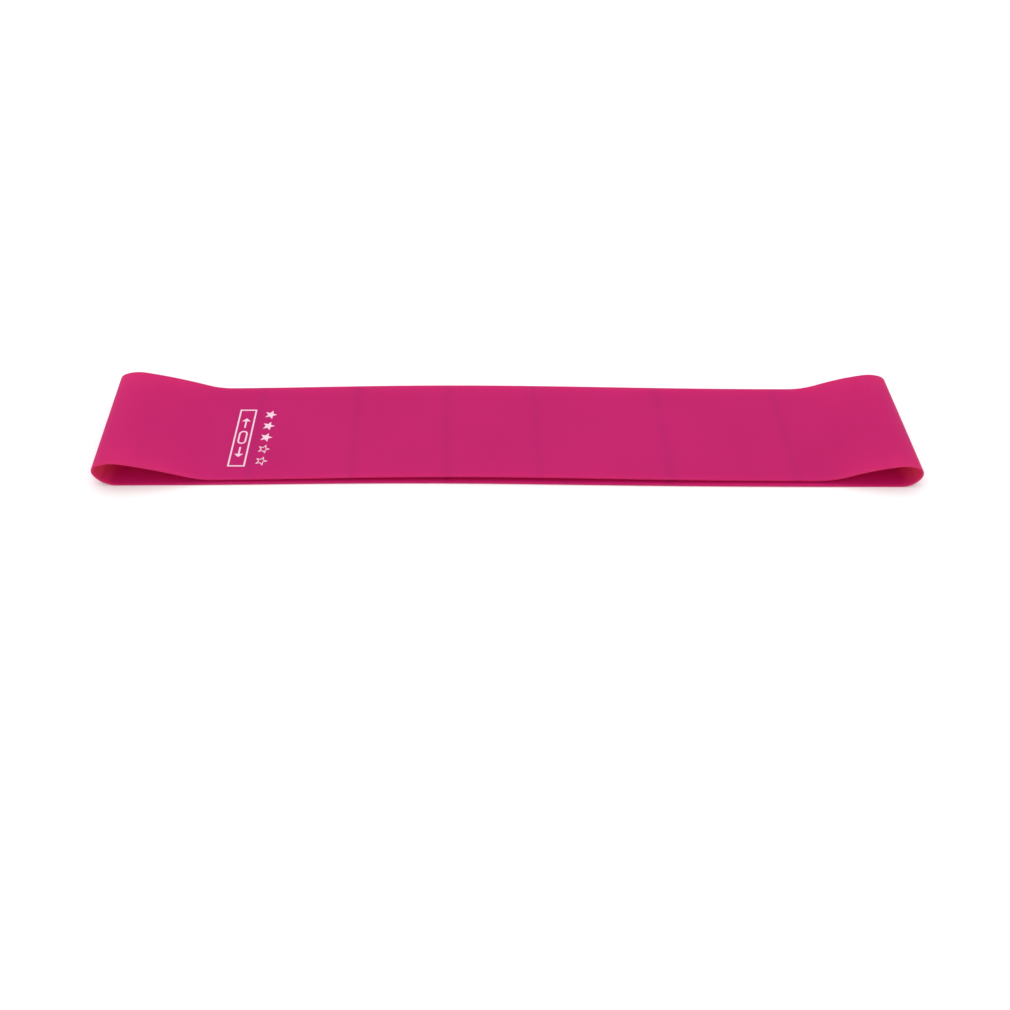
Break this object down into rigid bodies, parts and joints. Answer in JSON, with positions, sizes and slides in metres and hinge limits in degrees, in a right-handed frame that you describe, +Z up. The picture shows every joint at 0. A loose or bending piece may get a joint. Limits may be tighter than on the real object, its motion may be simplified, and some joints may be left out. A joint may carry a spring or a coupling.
{
  "type": "resistance band",
  "caption": "Flat rubber loop band lying collapsed, with an open bight at each end and a small level print; the loop opens and stretches.",
  "frame": {"origin": "middle of the lower run on the table, midway between the two noses", "axes": "+X along the band to the right end, +Y across the band away from the viewer, +Z up"},
  "size_m": [0.3002, 0.05, 0.0106],
  "materials": {
    "latex": "satin natural rubber sheet, magenta all through",
    "ink": "flexible screen-print ink, off-white"
  },
  "bodies": {
    "lower_run_left": {"lower_run_left": "latex"},
    "lower_run_right": {"lower_run_right": "latex"},
    "left_lower_1": {"left_lower_1": "latex"},
    "left_lower_2": {"left_lower_2": "latex"},
    "left_lift": {"left_lift": "latex"},
    "left_crown": {"left_crown": "latex"},
    "left_tail": {"left_tail": "latex", "label_frame": "ink", "label_mark": "ink", "stars_filled": "ink", "stars_open": "ink"},
    "left_upper": {"left_upper": "latex"},
    "right_lower_1": {"right_lower_1": "latex"},
    "right_lower_2": {"right_lower_2": "latex"},
    "right_lift": {"right_lift": "latex"},
    "right_crown": {"right_crown": "latex"},
    "right_tail": {"right_tail": "latex"},
    "right_upper": {"right_upper": "latex"},
    "upper_run_left": {"upper_run_left": "latex"},
    "upper_run_bridge": {"upper_run_bridge": "latex"},
    "upper_run_right": {"upper_run_right": "latex"}
  },
  "joints": [
    {"name": "loop_open", "type": "hinge", "parent": "lower_run_left", "child": "left_lower_1", "pos_m": [-0.032, 0, 0.00035], "axis": [0, 1, 0], "range_deg": [0, 23.66]},
    {"name": "left_flex_2", "type": "hinge", "parent": "left_lower_1", "child": "left_lower_2", "pos_m": [-0.08702, 0, 0.00035], "axis": [0, 1, 0], "range_deg": [0, 15.45]},
    {"name": "left_flex_3", "type": "hinge", "parent": "left_lower_2", "child": "left_lift", "pos_m": [-0.14204, 0, 0.00035], "axis": [0, 1, 0], "range_deg": [-70.44, 0]},
    {"name": "left_flex_4", "type": "hinge", "parent": "left_lift", "child": "left_crown", "pos_m": [-0.14952, 0, 0.00753], "axis": [0, 1, 0], "range_deg": [-30.57, 0]},
    {"name": "left_flex_5", "type": "hinge", "parent": "left_crown", "child": "left_tail", "pos_m": [-0.11638, 0, 0.00334], "axis": [0, 1, 0], "range_deg": [0, 50.33]},
    {"name": "left_flex_6", "type": "hinge", "parent": "left_tail", "child": "left_upper", "pos_m": [-0.08181, 0, 0.00165], "axis": [0, 1, 0], "range_deg": [0, 7.66]},
    {"name": "left_flex_7", "type": "hinge", "parent": "left_upper", "child": "upper_run_left", "pos_m": [-0.032, 0, 0.00165], "axis": [0, 1, 0], "range_deg": [0, 3.91]},
    {"name": "right_flex_1", "type": "hinge", "parent": "lower_run_right", "child": "right_lower_1", "pos_m": [0.032, 0, 0.00035], "axis": [0, -1, 0], "range_deg": [0, 24.24]},
    {"name": "right_flex_2", "type": "hinge", "parent": "right_lower_1", "child": "right_lower_2", "pos_m": [0.08782, 0, 0.00035], "axis": [0, -1, 0], "range_deg": [0, 13.32]},
    {"name": "right_flex_3", "type": "hinge", "parent": "right_lower_2", "child": "right_lift", "pos_m": [0.14364, 0, 0.00035], "axis": [0, -1, 0], "range_deg": [-60.66, 0]},
    {"name": "right_flex_4", "type": "hinge", "parent": "right_lift", "child": "right_crown", "pos_m": [0.14952, 0, 0.00642], "axis": [0, -1, 0], "range_deg": [-44.5, 0]},
    {"name": "right_flex_5", "type": "hinge", "parent": "right_crown", "child": "right_tail", "pos_m": [0.12374, 0, 0.00388], "axis": [0, -1, 0], "range_deg": [0, 51.18]},
    {"name": "right_flex_6", "type": "hinge", "parent": "right_tail", "child": "right_upper", "pos_m": [0.08779, 0, 0.00165], "axis": [0, -1, 0], "range_deg": [0, 12.46]},
    {"name": "right_flex_7", "type": "hinge", "parent": "right_upper", "child": "upper_run_right", "pos_m": [0.032, 0, 0.00165], "axis": [0, -1, 0], "range_deg": [0, 3.97]},
    {"name": "stretch", "type": "slide", "parent": "lower_run_left", "child": "lower_run_right", "axis": [1, 0, 0], "range_m": [0, 0.3], "stiffness_N_per_m": 190},
    {"name": "upper_stretch", "type": "slide", "parent": "upper_run_left", "child": "upper_run_bridge", "axis": [1, 0, 0], "range_m": [0, 0.3]}
  ],
  "couplings": [
    {"joint": "left_flex_2", "follows": "loop_open", "ratio": 0.65276},
    {"joint": "left_flex_3", "follows": "loop_open", "ratio": -2.9769},
    {"joint": "left_flex_4", "follows": "loop_open", "ratio": -1.2919},
    {"joint": "left_flex_5", "follows": "loop_open", "ratio": 2.1269},
    {"joint": "left_flex_6", "follows": "loop_open", "ratio": 0.32383},
    {"joint": "left_flex_7", "follows": "loop_open", "ratio": 0.16531},
    {"joint": "right_flex_1", "follows": "loop_open", "ratio": 1.0242},
    {"joint": "right_flex_2", "follows": "loop_open", "ratio": 0.563},
    {"joint": "right_flex_3", "follows": "loop_open", "ratio": -2.5636},
    {"joint": "right_flex_4", "follows": "loop_open", "ratio": -1.8805},
    {"joint": "right_flex_5", "follows": "loop_open", "ratio": 2.1627},
    {"joint": "right_flex_6", "follows": "loop_open", "ratio": 0.52633},
    {"joint": "right_flex_7", "follows": "loop_open", "ratio": 0.16778},
    {"joint": "upper_stretch", "follows": "stretch", "ratio": 1}
  ]
}
